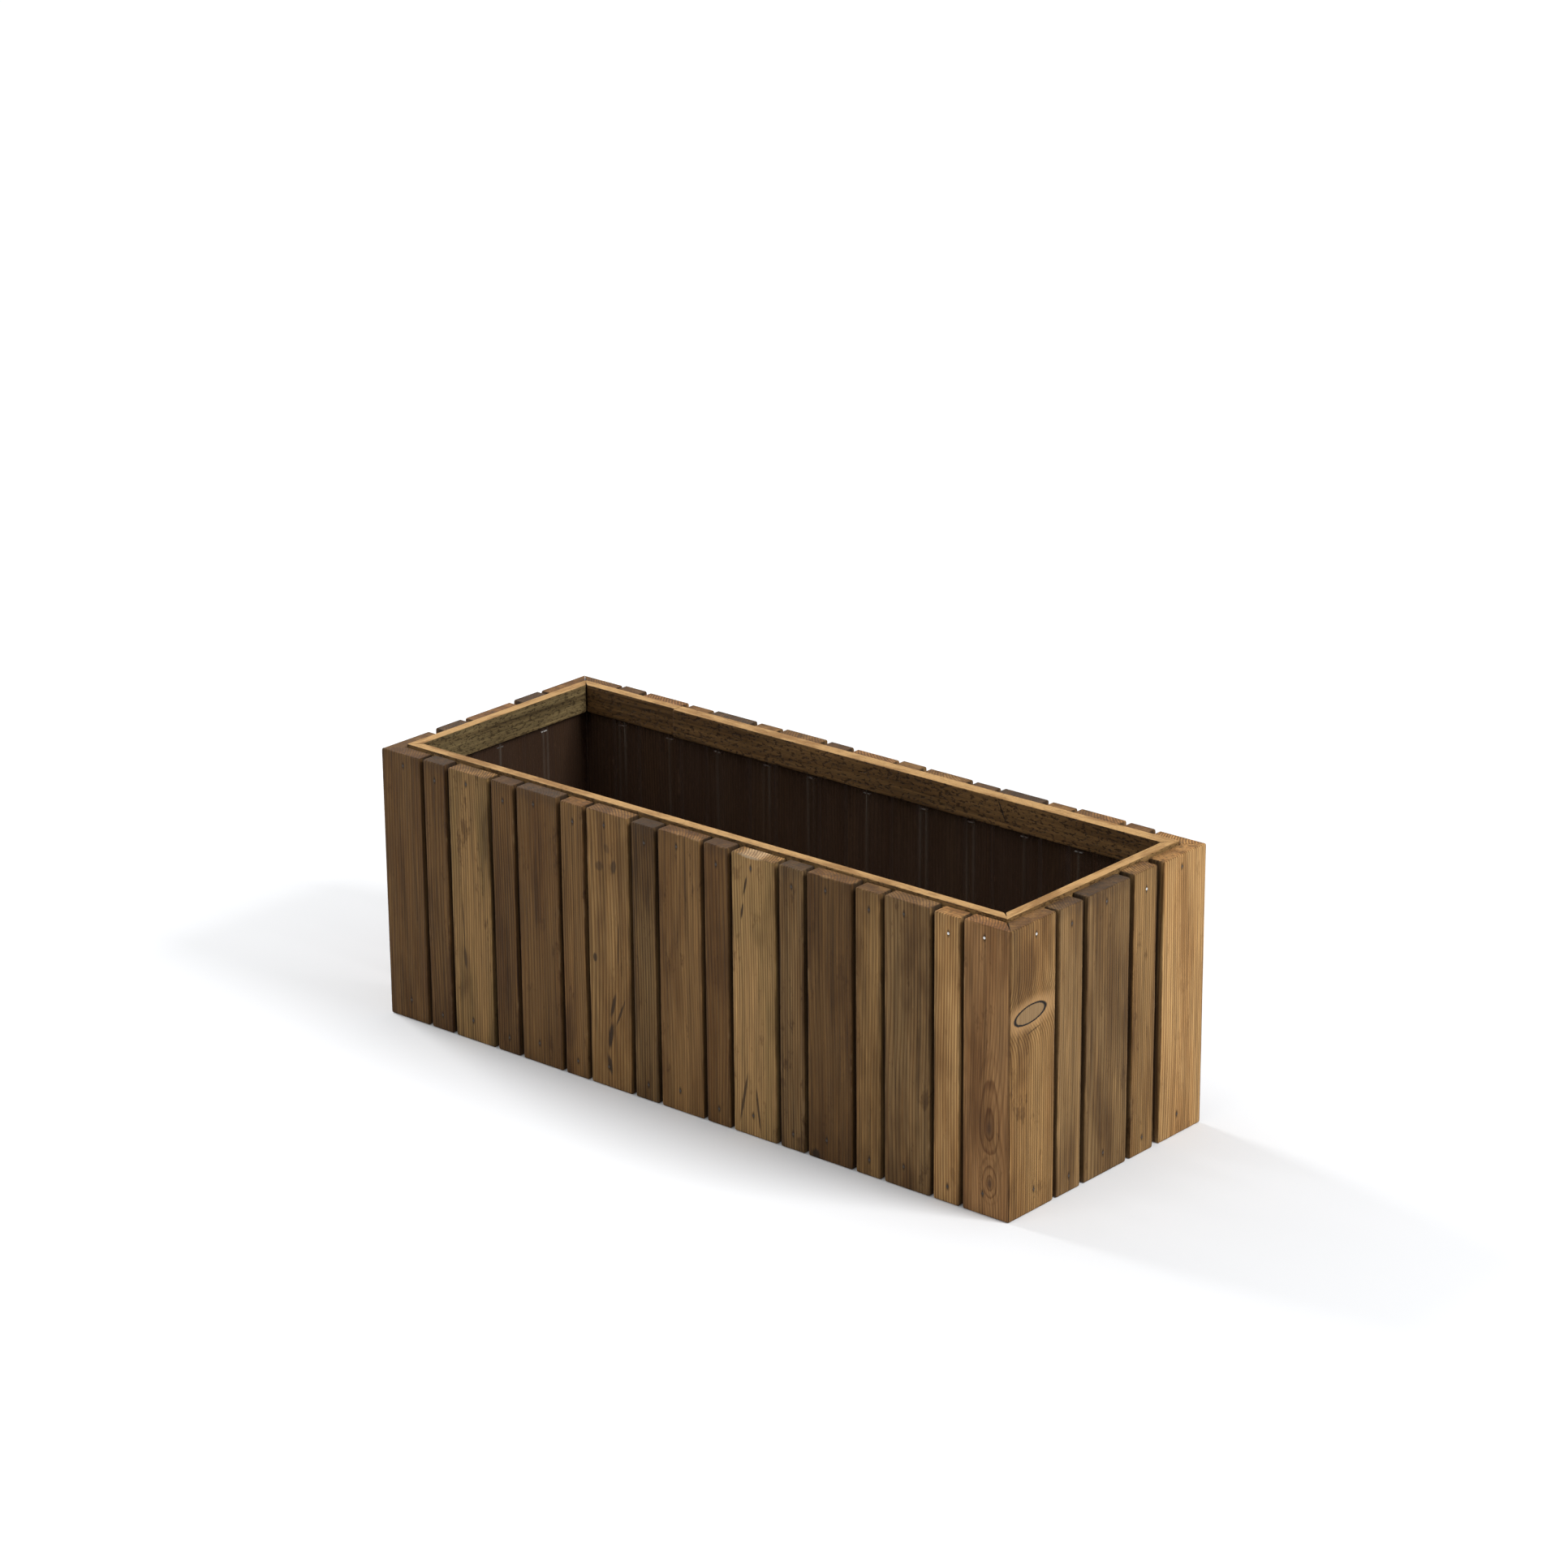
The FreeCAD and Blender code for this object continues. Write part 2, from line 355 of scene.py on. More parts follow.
class Graph:
    """The shader nodes of a material or of the world."""

    def __init__(self, owner):
        owner.use_nodes = True
        self.owner = owner
        self.tree = owner.node_tree
        self.tree.nodes.clear()

    def feed(self, socket, value):
        if isinstance(value, bpy.types.NodeSocket):
            self.tree.links.new(value, socket)
        elif socket.type == "RGBA":
            socket.default_value = (*value, 1.0)
        else:
            socket.default_value = value

    def add(self, kind, inputs, **settings):
        node = self.tree.nodes.new("ShaderNode" + kind)
        for key, value in settings.items():
            setattr(node, key, value)
        for socket, value in inputs.items():
            self.feed(node.inputs[socket], value)
        return node

    def math(self, operation, *values):
        return self.add("Math", dict(enumerate(values)), operation=operation).outputs[0]

    def vector(self, operation, *values):
        node = self.add("VectorMath", dict(enumerate(values)), operation=operation)
        return node.outputs["Value" if operation == "LENGTH" else "Vector"]

    def attribute(self, name, output="Vector"):
        return self.add("Attribute", {}, attribute_name=name).outputs[output]

    def parts(self, vector):
        return self.add("SeparateXYZ", {0: vector}).outputs

    def together(self, x, y, z):
        return self.add("CombineXYZ", {0: x, 1: y, 2: z}).outputs[0]

    def noise(self, vector, detail, roughness=0.5, output="Fac"):
        inputs = {"Vector": vector, "Scale": 1.0, "Detail": detail, "Roughness": roughness}
        return self.add("TexNoise", inputs).outputs[output]

    def between(self, value, low, high, to_low=0.0, to_high=1.0):
        """value's smooth way from low to high, as a number from to_low to to_high."""
        inputs = {"Value": value, "From Min": low, "From Max": high, "To Min": to_low, "To Max": to_high}
        return self.add("MapRange", inputs, interpolation_type="SMOOTHSTEP").outputs["Result"]

    def ranged(self, name, value):
        return self.between(value, *RANGES[name])

    def mix(self, share, a, b, blend="MIX"):
        node = self.add("Mix", {}, data_type="RGBA", blend_type=blend)
        for index, value in ((0, share), (6, a), (7, b)):
            self.feed(node.inputs[index], value)
        return node.outputs[2]

    def tint(self, share, colour, name):
        """The colour, with a share of it multiplied by a named tint."""
        return self.mix(share, colour, self.mix(1.0, colour, TINTS[name], "MULTIPLY"))

    def bump(self, height, distance, strength):
        return self.add("Bump", {"Height": height, "Distance": distance, "Strength": strength}).outputs[0]

    def output(self, kind, shader):
        out = self.tree.nodes.new("ShaderNodeOutput" + kind)
        self.tree.links.new(shader, out.inputs["Surface"])
        return self.owner


class WoodGraph(Graph):
    """The graph of a wood, with what each board's mesh says of the board."""

    def __init__(self, name):
        super().__init__(bpy.data.materials.new(name))
        self.place = self.attribute("board_place")
        seed, self.blotches, self.contrast = self.parts(self.attribute("board_look"))
        self.shift = self.together(*(self.math("MULTIPLY", seed, share) for share in FIGURE_SHIFT))
        self.layers = {}

    def layer(self, name, output="Fac"):
        """A layer of the figure, which is a different one on each board."""
        if name not in self.layers:
            features, detail, roughness = FIGURE[name]
            spread = self.vector("ADD", self.vector("MULTIPLY", self.place, features), self.shift)
            self.layers[name] = self.noise(spread, detail, roughness, output)
        return self.layers[name]

    def ragged(self, distance, layer, amount):
        """A distance from a mark's middle, made uneven by a layer of the figure."""
        unevenness = self.math("MULTIPLY", self.math("SUBTRACT", self.layer(layer), 0.5), amount)
        return self.math("ADD", distance, unevenness)


# ---------------------------------------------------------------- marks in the wood


def scar(across, up, half_width, half_height, depth, tilt=0.0, **more):
    """A dark tear or a patch of pitch. Its place is measured from the board's middle."""
    return dict(
        make=add_scar, across=across, up=up, half_width=half_width, half_height=half_height, depth=depth,
        tilt=tilt, **more,
    )


def eye(across, up, half_width, half_height, tightness, bulge, reach_up):
    """A small knot with shells round it, drawn out upwards, that the rings go round."""
    return dict(
        make=add_eye, across=across, up=up, half_width=half_width, half_height=half_height,
        tightness=tightness, bulge=bulge, reach_up=reach_up,
    )


def board_marks():
    """The marks of the boards that have any."""
    return {
        "front_slat_03": [
            scar(-0.011, -0.055, 0.0022, 0.014, 0.75, tilt=0.05),
            scar(-0.012, -0.020, 0.0012, 0.030, 0.70, tilt=0.02),
        ],
        "front_slat_07": [
            scar(-0.011, 0.087, 0.0070, 0.0058, 0.55, tilt=0.30),
            scar(0.008, 0.090, 0.0044, 0.0080, 0.70, tilt=-0.20),
            scar(-0.001, 0.107, 0.0040, 0.0060, 0.40, tilt=0.50),
            scar(-0.019, -0.010, 0.0030, 0.0050, 0.85),
            scar(0.004, -0.055, 0.0027, 0.016, 0.85, tilt=-0.25),
            scar(0.000, -0.088, 0.0038, 0.017, 0.95, tilt=-0.18),
            scar(-0.002, -0.119, 0.0032, 0.012, 0.90, tilt=0.20),
            scar(0.013, -0.062, 0.0017, 0.018, 0.80, tilt=-0.40),
            scar(0.012, 0.010, 0.0015, 0.030, 0.65, tilt=-0.05),
        ],
        "front_slat_11": [
            scar(-0.010, 0.112, 0.0015, 0.012, 0.90, tilt=-0.22),
            scar(-0.014, 0.086, 0.0015, 0.010, 0.90, tilt=-0.15),
            scar(-0.014, -0.105, 0.0019, 0.030, 0.80, tilt=-0.20),
            scar(0.004, -0.115, 0.0015, 0.028, 0.80, tilt=0.12),
            dict(make=add_chip, across=-0.004, up=0.1435, half_width=0.016, half_height=0.0035, depth=0.7),
        ],
        "front_slat_13": [
            scar(-0.018, -0.140, 0.007, 0.007, 0.95),
        ],
        "front_slat_17": [
            eye(0.008, -0.056, 0.0085, 0.018, tightness=0.25, bulge=0.012, reach_up=2.0),
            eye(0.009, -0.110, 0.0060, 0.010, tightness=0.35, bulge=0.006, reach_up=1.3),
        ],
        "right_slat_01": [
            dict(
                make=add_knot, across=-0.0082, up=0.055, half_width=0.0232, half_height=0.0088, tilt=0.07,
                tightness=0.20, bulge=0.013, halo=2.2,
            ),
            scar(-0.002, 0.038, 0.012, 0.0011, 0.60, tilt=0.20),
        ],
        "top_rail_back_long": [
            scar(0.003, -0.116, 0.0135, 0.0011, 0.95, tilt=0.43, on_edge=True),
        ],
    }


def ellipse_distance(g, mark):
    """How far a place on the board is from a mark's middle, 1 at its rim."""
    sideways = g.parts(g.place)["Y" if mark.get("on_edge") else "X"]
    across = g.math("SUBTRACT", sideways, mark["across"])
    up = g.math("SUBTRACT", g.parts(g.place)["Z"], mark["up"])
    tilt = mark.get("tilt", 0.0)
    cos, sin = math.cos(tilt), math.sin(tilt)
    first = g.math("ADD", g.math("MULTIPLY", across, cos), g.math("MULTIPLY", up, sin))
    second = g.math("SUBTRACT", g.math("MULTIPLY", up, cos), g.math("MULTIPLY", across, sin))
    if "reach_up" in mark:
        above = g.math("DIVIDE", g.math("MAXIMUM", second, 0.0), mark["reach_up"])
        second = g.math("ADD", above, g.math("MINIMUM", second, 0.0))
    first = g.math("DIVIDE", first, mark["half_width"])
    second = g.math("DIVIDE", second, mark["half_height"])
    return g.vector("LENGTH", g.together(first, second, 0.0))


def add_knot(g, colour, dent, mark, distance):
    """A sound knot with a black rim and a pale surround."""
    halo = g.between(g.ragged(distance, "fibres", HALO_RAGGED), 1.0, mark["halo"], HALO_SHARE, 0.0)
    colour = g.mix(halo, colour, COLOURS["knot_halo"])
    fleck = g.ranged("knot_fleck", g.layer("fibres"))
    heart = g.mix(fleck, COLOURS["knot"], COLOURS["knot_fleck"])
    colour = g.mix(g.ranged("in_knot", distance), colour, heart)
    uneven = g.ragged(distance, "fibres", RIM_RAGGED)
    rim = g.ranged("on_rim", g.math("ABSOLUTE", g.math("SUBTRACT", uneven, RIM_PLACE)))
    return g.mix(rim, colour, COLOURS["knot_rim"]), g.math("ADD", dent, rim)


def add_eye(g, colour, dent, mark, distance):
    """A small dark knot in the shells of wood that grew round it."""
    distance = g.ragged(distance, "clouds", EYE_RAGGED)
    shell = g.math("FRACT", g.math("MULTIPLY", distance, EYE_SHELLS))
    line = g.math("MULTIPLY", g.ranged("shell_darkens", shell), g.ranged("shell_ends", shell))
    line = g.math("MULTIPLY", line, g.ranged("shells_fade", distance))
    colour = g.tint(line, colour, "shells")
    heart = g.ranged("eye_heart", g.ragged(distance, "fibres", EYE_HEART_RAGGED))
    return g.mix(heart, colour, COLOURS["eye_heart"]), dent


def add_scar(g, colour, dent, mark, distance):
    """A dark tear, deeper than the wood round it."""
    dark = g.between(g.ragged(distance, "fibres", SCAR_RAGGED), *MARK_EDGE, mark["depth"], 0.0)
    return g.mix(dark, colour, COLOURS["scar"]), g.math("ADD", dent, g.math("MULTIPLY", dark, SCAR_HEIGHT))


def add_chip(g, colour, dent, mark, distance):
    """A place where the stained skin has split off and bare wood shows."""
    bare = g.between(g.ragged(distance, "fibres", CHIP_RAGGED), *MARK_EDGE, mark["depth"], 0.0)
    return g.mix(bare, colour, COLOURS["chip"]), dent


# ---------------------------------------------------------------- materials


def late_wood(g, marks, distances):
    """The dense, dark part of each ring, from 0 to 1. The rings go round the knots."""
    sway = g.vector("SUBTRACT", g.layer("sway", "Color"), (0.5, 0.5, 0.5))
    from_heart = g.vector("ADD", g.place, g.attribute("log_heart"))
    swayed = g.vector("ADD", from_heart, g.vector("MULTIPLY", sway, RING_SWAY))
    radius = g.vector("LENGTH", g.vector("MULTIPLY", swayed, (1.0, 1.0, 0.0)))
    for mark, distance in zip(marks, distances):
        if "bulge" in mark:
            fall = g.math("MULTIPLY", g.math("POWER", distance, 2.0), -mark["tightness"])
            bulge = g.math("MULTIPLY", g.math("EXPONENT", fall), mark["bulge"])
            radius = g.math("ADD", radius, bulge)
    ring = g.math("FRACT", g.math("DIVIDE", radius, RING_SPACING))
    return g.math("MULTIPLY", g.ranged("ring_darkens", ring), g.ranged("ring_ends", ring))


def stained_wood(g, late):
    """The board's two stains, with its rings, fibres, streaks and blotches."""
    second_share = g.ranged("second_stain", g.layer("clouds"))
    colour = g.mix(second_share, g.attribute("stain"), g.attribute("second_stain"))
    colour = g.tint(g.math("MULTIPLY", late, g.contrast), colour, "late_wood")
    fibre_tone = g.ranged("fibre_tone", g.layer("fibres"))
    tone = g.math("MULTIPLY", fibre_tone, g.ranged("line_tone", g.layer("lines")))
    colour = g.mix(1.0, colour, g.together(tone, tone, tone), "MULTIPLY")
    colour = g.tint(g.ranged("streaks", g.layer("streaks")), colour, "streaks")
    patches = g.ranged("patches", g.layer("patches"))
    blotched = g.math("MAXIMUM", patches, g.ranged("smudges", g.layer("smudges")))
    return g.tint(g.math("MULTIPLY", blotched, g.blotches), colour, "blotches")


# Painted shade: the slats' sides in the gaps between them, and their backs, are darkened here
def add_gap_shade(g, colour):
    shade = g.math("MULTIPLY", g.attribute("gap_shade", "Fac"), g.ranged("gap_shade", g.layer("clouds")))
    return g.mix(shade, colour, COLOURS["gap_shade"])


def add_edge_wear(g, colour):
    """Dirt and stain along the sharp edges, rubbed pale in a few places."""
    edge = g.attribute("edge_wear", "Fac")
    dirty = g.math("MULTIPLY", edge, g.ranged("dirty_edge", g.layer("rubbed")))
    colour = g.tint(dirty, colour, "dirty_edge")
    pale = g.math("MULTIPLY", edge, g.ranged("rubbed_edge", g.layer("rubbed")))
    return g.mix(pale, colour, COLOURS["rubbed_edge"])


def add_nail_stains(g, colour):
    """The dark halo, longer along the grain, that iron leaves round each nail."""
    across, from_top, from_low = g.parts(g.attribute("from_nails"))
    sideways = g.math("MULTIPLY", across, NAIL_STAIN_ACROSS)
    for along in (from_top, from_low):
        spot = g.together(sideways, g.math("MULTIPLY", along, NAIL_STAIN_ALONG), 0.0)
        unevenness = g.math("MULTIPLY", g.layer("fibres"), NAIL_STAIN_RAGGED)
        reach = g.math("ADD", g.vector("LENGTH", spot), unevenness)
        colour = g.mix(g.ranged("nail_stain", reach), colour, COLOURS["nail_stain"])
    return colour


def add_end_grain(g, colour, late):
    """The sawn ends: the arcs of the rings, and the dark that has soaked in and run down from the top."""
    end, soak, below_top = g.parts(g.attribute("end_look"))
    lead = g.math("MULTIPLY", g.layer("streaks"), RUN_LENGTH)
    run = g.math("MULTIPLY", g.ranged("run", g.math("ADD", below_top, lead)), soak)
    colour = g.mix(run, colour, COLOURS["run"])
    arcs = g.mix(1.0, colour, TINTS["end_grain"], "MULTIPLY")
    arcs = g.mix(g.math("MULTIPLY", late, END_RINGS), arcs, COLOURS["end_rings"])
    speckles = g.layer("end_speckles")
    speckled = g.mix(g.ranged("end_speckles", speckles), arcs, COLOURS["end_speckles"])
    soaked_share = g.math("MULTIPLY", soak, g.ranged("end_soak", speckles))
    return g.mix(end, colour, g.mix(soaked_share, speckled, COLOURS["end_soak"]))


def add_pits(g, colour, height, strength):
    """The dark pits of a rough saw."""
    pits = g.ranged("pits", g.layer("pits"))
    colour = g.tint(g.math("MULTIPLY", pits, strength), colour, "pits")
    return colour, g.math("SUBTRACT", height, g.math("MULTIPLY", pits, PIT_HEIGHT))


def add_clean_top(g, colour, late):
    """The faces that look up have lost their stain."""
    up = g.parts(g.add("NewGeometry", {}).outputs["Normal"])["Z"]
    top = g.tint(g.ranged("worn_top", g.layer("worn")), STAINS["blond"], "worn_top")
    top = g.mix(g.math("MULTIPLY", late, TOP_RINGS), top, COLOURS["top_rings"])
    return g.mix(g.ranged("faces_up", up), colour, top)


def wood_material(name, marks=(), clean_top=False, pits=0.0):
    """Sawn softwood. The rings lie round the log's heart, which each board has at its own place, so the
    faces show the grain and the ends show the arcs."""
    g = WoodGraph(name)
    distances = [ellipse_distance(g, mark) for mark in marks]
    late = late_wood(g, marks, distances)
    colour, dent = stained_wood(g, late), 0.0
    for mark, distance in zip(marks, distances):
        colour, dent = mark["make"](g, colour, dent, mark, distance)
    colour = add_gap_shade(g, colour)
    colour = add_edge_wear(g, colour)
    colour = add_nail_stains(g, colour)
    colour = add_end_grain(g, colour, late)
    fibres = g.math("MULTIPLY", g.layer("fibres"), FIBRE_HEIGHT)
    height = g.math("ADD", fibres, g.math("MULTIPLY", late, RING_HEIGHT))
    height = g.math("SUBTRACT", height, dent)
    if pits:
        colour, height = add_pits(g, colour, height, pits)
    if clean_top:
        colour = add_clean_top(g, colour, late)
    shader = g.add(
        "BsdfPrincipled",
        {
            "Base Color": colour,
            "Roughness": g.ranged("wood_roughness", g.layer("fibres")),
            "Normal": g.bump(height, WOOD_BUMP, WOOD_BUMP_STRENGTH),
            "Specular IOR Level": WOOD_GLOSS,
        },
    )
    return g.output("Material", shader.outputs[0])


def film_material():
    """Thin dark film: smoky, with a soft sheen, and the slats just showing through it."""
    g = Graph(bpy.data.materials.new("liner_film"))
    place = g.add("TexCoord", {}).outputs["Object"]
    creases = g.noise(g.vector("MULTIPLY", place, FILM_CREASES), 3.0, 0.6)
    dust = g.noise(g.vector("MULTIPLY", place, FILM_DUST), 2.0, 0.6)
    colour = g.mix(g.ranged("film_dust", dust), COLOURS["film"], COLOURS["film_dust"])
    # Painted highlight: along each pleat below a staple the film is painted pale and made less see-through,
    # for the light the pleats catch
    pleat = g.math("MULTIPLY", g.attribute("pleat", "Fac"), g.ranged("film_pleat_highlight", creases))
    shader = g.add(
        "BsdfPrincipled",
        {
            "Base Color": g.mix(pleat, colour, COLOURS["film_pleat_highlight"]),
            "Roughness": g.ranged("film_roughness", creases),
            "Alpha": g.math("MAXIMUM", pleat, FILM_COVER),
            "Normal": g.bump(creases, FILM_BUMP, FILM_BUMP_STRENGTH),
            "Specular IOR Level": FILM_GLOSS,
        },
    )
    return g.output("Material", shader.outputs[0])


def steel_material(name, bright, dull, bright_share, bright_from=None):
    """Steel wire, part of it dulled by the stain on the wood. Where bright_from is given, all the steel to
    the left of it or below it is dull."""
    g = Graph(bpy.data.materials.new(name))
    place = g.add("TexCoord", {}).outputs["Object"]
    patches = g.noise(g.vector("MULTIPLY", place, STEEL_PATCHES), 0.0)
    scratches = g.noise(g.vector("MULTIPLY", place, STEEL_SCRATCHES), 2.0, 0.6)
    dulled = g.between(patches, bright_share - DULL_BLEND, bright_share + DULL_BLEND)
    if bright_from:
        x, _, z = g.parts(place)
        to_the_right = g.math("GREATER_THAN", x, bright_from.x)
        beyond = g.math("MULTIPLY", to_the_right, g.math("GREATER_THAN", z, bright_from.z))
        dulled = g.math("MAXIMUM", dulled, g.math("SUBTRACT", 1.0, beyond))
    colour = g.mix(dulled, bright, dull)
    rough = g.ranged("steel_roughness", scratches)
    shader = g.add(
        "BsdfPrincipled",
        {
            "Base Color": g.mix(g.ranged("scratches", scratches), colour, COLOURS["scratches"]),
            "Metallic": g.math("SUBTRACT", 1.0, dulled),
            "Roughness": g.math("ADD", rough, g.math("MULTIPLY", dulled, DULL_ROUGHNESS)),
            "Normal": g.bump(scratches, STEEL_BUMP, STEEL_BUMP_STRENGTH),
        },
    )
    return g.output("Material", shader.outputs[0])


def make_woods():
    """The wood of each kind of board by name, and of each board with marks by its node."""
    marks = board_marks()
    cracked = marks.pop("top_rail_back_long")
    woods = {
        "slat": wood_material("slat_wood"),
        "rail": wood_material("rail_wood", clean_top=True, pits=0.7),
        "cracked_rail": wood_material("cracked_rail_wood", cracked, clean_top=True, pits=0.9),
        "plain": wood_material("base_wood", pits=0.3),
    }
    for node, found in marks.items():
        woods[node] = wood_material(node + "_wood", found)
    return woods


# ---------------------------------------------------------------- boards


def tube_faces(around, outlines):
    """The faces between closed outlines of so many points each."""
    faces = []
    for row in range(outlines - 1):
        here = row * around
        above = here + around
        for column in range(around):
            after = (column + 1) % around
            faces.append((here + column, here + after, above + after, above + column))
    return faces


def new_piece(name, points, faces, flat_faces, material):
    """A mesh piece, smooth except for its last faces."""
    mesh = bpy.data.meshes.new(name)
    mesh.from_pydata(points, [], faces)
    smooth = [True] * (len(faces) - flat_faces) + [False] * flat_faces
    mesh.polygons.foreach_set("use_smooth", smooth)
    mesh.materials.append(material)
    piece = bpy.data.objects.new(name, mesh)
    bpy.context.scene.collection.objects.link(piece)
    return piece


def add_vectors(mesh, name, vectors):
    values = [value for vector in vectors for value in vector]
    mesh.attributes.new(name, "FLOAT_VECTOR", "POINT").data.foreach_set("vector", values)


def add_numbers(mesh, name, numbers):
    mesh.attributes.new(name, "FLOAT", "POINT").data.foreach_set("value", numbers)


def outline_plan(corners):
    """Where the points of a board's outline lie, as (corner, share of the way to the next, on the edge)."""
    plan = []
    for index, corner in enumerate(corners):
        length = (corners[(index + 1) % 4] - corner).length
        first = EDGE_ROUNDING / length
        last = 1 - first
        band = WORN_BAND / length
        count = max(2, int(length / POINT_SPACING))
        plan.append((index, first, 1.0))
        for number in range(count + 1):
            share = first + band + (last - first - 2 * band) * number / count
            plan.append((index, share, 0.0))
        plan.append((index, last, 1.0))
        plan.append((index, 1.0, 1.0))
    return plan


def outline(corners, plan):
    """The outline's points, with the corners rounded off."""
    points = []
    for index, share, _ in plan:
        here, after, beyond = corners[index], corners[(index + 1) % 4], corners[(index + 2) % 4]
        if share == 1.0:
            before = after + (here - after).normalized() * EDGE_ROUNDING
            behind = after + (beyond - after).normalized() * EDGE_ROUNDING
            points.append(after * 0.5 + (before + behind) * 0.25)
        else:
            points.append(here.lerp(after, share))
    return points


def grain_levels(length):
    """The shares of a board's length at which its outline is repeated, close together at the ends."""
    lead = END_LEVELS[-1]
    between = length - 2 * lead
    count = max(2, int(between / POINT_SPACING))
    middle = [lead + between * number / count for number in range(1, count)]
    levels = [*END_LEVELS, *middle, *(length - value for value in reversed(END_LEVELS))]
    return [value / length for value in levels]


# The wood of a board: where the log's heart is from the board's middle, the two stains, and how strong the
# blotches, the rings and the dark in the ends are
Look = namedtuple("Look", "heart stain second_stain blotches contrast soak")


def uneven(name, number):
    """A board's own amount of something, the same each time for the same number."""
    step, low, high = BOARD_RANGES[name]
    return low + (high - low) * ((number * step * GOLDEN_SHARE) % 1.0)


class Board:
    """One sawn board that stands for a node: its two end outlines of four corners each, the direction
    across its face, the direction into its thickness, the number that sets it apart and its look."""

    def __init__(self, node, start, end, across, inward, number, look):
        self.node = node
        self.start = start
        self.end = end
        self.across = across
        self.inward = inward
        self.grain = across.cross(inward)
        self.number = number
        self.look = look
        self.middle = sum(start + end, Vector()) / 8
        self.wander = EDGE_WANDER
        self.end_wear = RAIL_END_WEAR
        # How strong the painted shade on the sides and back is; only the slats have it
        self.gap_shade = 0.0
        self.nails = Vector((1.0, 1.0, 1.0))

    def local(self, point):
        offset = point - self.middle
        return Vector((offset.dot(self.across), offset.dot(self.inward), offset.dot(self.grain)))

    def edge_wander(self, grain, side):
        """How far the saw went in at a place along the edge on one side."""
        share = 0.5
        for wave in EDGE_WAVES:
            place = Vector((grain * wave.a_metre, self.number * wave.board_step, side * wave.side_step))
            share += wave.share * noise.noise(place)
        return self.wander * share

    def shrunk(self, point, centre, half_across, half_inward, inset):
        """A point moved towards the middle of its outline, by the inset and by the saw's wandering."""
        offset = point - centre
        u, v = offset.dot(self.across), offset.dot(self.inward)
        grain = point.dot(self.grain)
        face_place = Vector((u * FACE_WAVES, v * FACE_WAVES + self.number, grain * FACE_WAVES_ALONG))
        face_wander = FACE_WANDER * (0.5 + 0.5 * noise.noise(face_place))
        inset_u = inset + SURFACE_SETBACK + self.edge_wander(grain, 1.0 if u > 0 else -1.0)
        inset_v = inset + SURFACE_SETBACK + face_wander
        u *= max(0.0, 1 - inset_u / half_across)
        v *= max(0.0, 1 - inset_v / half_inward)
        return centre + self.across * u + self.inward * v + self.grain * offset.dot(self.grain)

    def outline_at(self, share, inset, plan):
        """The board's outline at a share of its length."""
        corners = [a.lerp(b, share) for a, b in zip(self.start, self.end)]
        centre = sum(corners, Vector()) / 4
        spans = [corner - centre for corner in corners]
        half_across = max(abs(span.dot(self.across)) for span in spans)
        half_inward = max(abs(span.dot(self.inward)) for span in spans)
        return [
            self.shrunk(point, centre, half_across, half_inward, inset) for point in outline(corners, plan)
        ]

    def build(self, material):
        plan = outline_plan(self.start)
        length = (sum(self.end, Vector()) / 4 - sum(self.start, Vector()) / 4).length
        levels = grain_levels(length)
        last = len(levels) - 1
        points, edges, ends = [], [], []
        for row, share in enumerate(levels):
            from_end = min(row, last - row)
            inset = END_INSETS.get(from_end, 0.0) * self.end_wear
            points += self.outline_at(share, inset, plan)
            edges += [1.0 if from_end < WORN_END_OUTLINES else on_edge for _, _, on_edge in plan]
            ends += [1.0 if from_end == 0 else 0.0] * len(plan)
        faces = tube_faces(len(plan), len(levels))
        faces.append(tuple(reversed(range(len(plan)))))
        faces.append(tuple(range(last * len(plan), len(levels) * len(plan))))
        piece = new_piece(self.node + "_board", points, faces, 2, material)
        self.describe(piece.data, points, edges, ends)
        piece.data.validate()
        piece.data.update()
        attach(piece, "root")
        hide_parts(self.node)

    def describe(self, mesh, points, edges, ends):
        """Write what the wood's graph reads into the mesh."""
        places = [self.local(point) for point in points]
        top = max(place.z for place in places)
        face = min(place.y for place in places)
        # Painted shade on a slat's sides and back: none at its face, full deeper in, none on its ends
        depths = [min(1.0, max(0.0, (place.y - face - GAP_UNSHADED) / GAP_FADE)) for place in places]
        shade = [self.gap_shade * depth * (1.0 - end) for depth, end in zip(depths, ends)]
        nails, look, count = self.nails, self.look, len(points)
        from_nails = [(place.x - nails.x, place.z - nails.y, place.z - nails.z) for place in places]
        end_look = [(end, look.soak, top - place.z) for end, place in zip(ends, places)]
        add_vectors(mesh, "board_place", places)
        add_vectors(mesh, "log_heart", [look.heart] * count)
        add_vectors(mesh, "board_look", [(self.number * FIGURE_STEP, look.blotches, look.contrast)] * count)
        add_vectors(mesh, "stain", [look.stain] * count)
        add_vectors(mesh, "second_stain", [look.second_stain] * count)
        add_vectors(mesh, "end_look", end_look)
        add_vectors(mesh, "from_nails", from_nails)
        add_numbers(mesh, "edge_wear", edges)
        add_numbers(mesh, "gap_shade", shade)


Wall = namedtuple("Wall", "across inward count stains dark_tops")
WALLS = {
    "front": Wall(Vector((1, 0, 0)), Vector((0, 1, 0)), LONG_WALL_SLATS, FRONT_STAINS, FRONT_DARK_TOPS),
    "right": Wall(Vector((0, 1, 0)), Vector((-1, 0, 0)), END_WALL_SLATS, RIGHT_STAINS, RIGHT_DARK_TOPS),
    "back": Wall(Vector((-1, 0, 0)), Vector((0, -1, 0)), LONG_WALL_SLATS, BACK_STAINS, BACK_DARK_TOPS),
    "left": Wall(Vector((0, -1, 0)), Vector((1, 0, 0)), END_WALL_SLATS, LEFT_STAINS, LEFT_DARK_TOPS),
}

